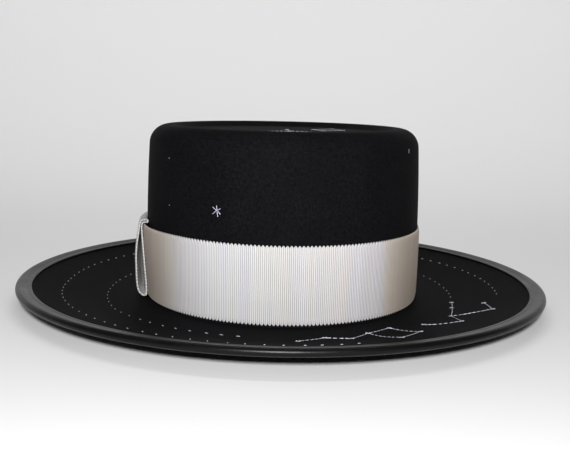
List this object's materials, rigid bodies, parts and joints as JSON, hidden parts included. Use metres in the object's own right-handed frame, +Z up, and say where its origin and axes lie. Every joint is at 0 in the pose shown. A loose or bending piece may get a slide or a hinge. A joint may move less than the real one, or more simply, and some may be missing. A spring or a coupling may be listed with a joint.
{
  "type": "flat-crowned felt hat with a wide bound brim",
  "caption": "Stiff wool felt hat with a flat telescope crown, a wide dished brim bound in leather, and a broad grosgrain band closed by an upright ribbon loop.",
  "frame": {"origin": "middle of the head opening, on the flat seat that the hat stands on", "axes": "+Z up through the crown, +Y from the side shown in the picture to the side behind it along the head's length, +X to the right in the picture"},
  "size_m": [0.3352, 0.3616, 0.1105],
  "materials": {
    "felt": "black blocked wool felt, matt with a short nap",
    "binding": "black glazed leather, satin",
    "ribbon": "silver grey grosgrain ribbon, soft sheen"
  },
  "bodies": {
    "root": {"felt_body": "felt", "brim_binding": "binding", "ribbon_band": "ribbon", "ribbon_knot": "ribbon"}
  },
  "joints": []
}
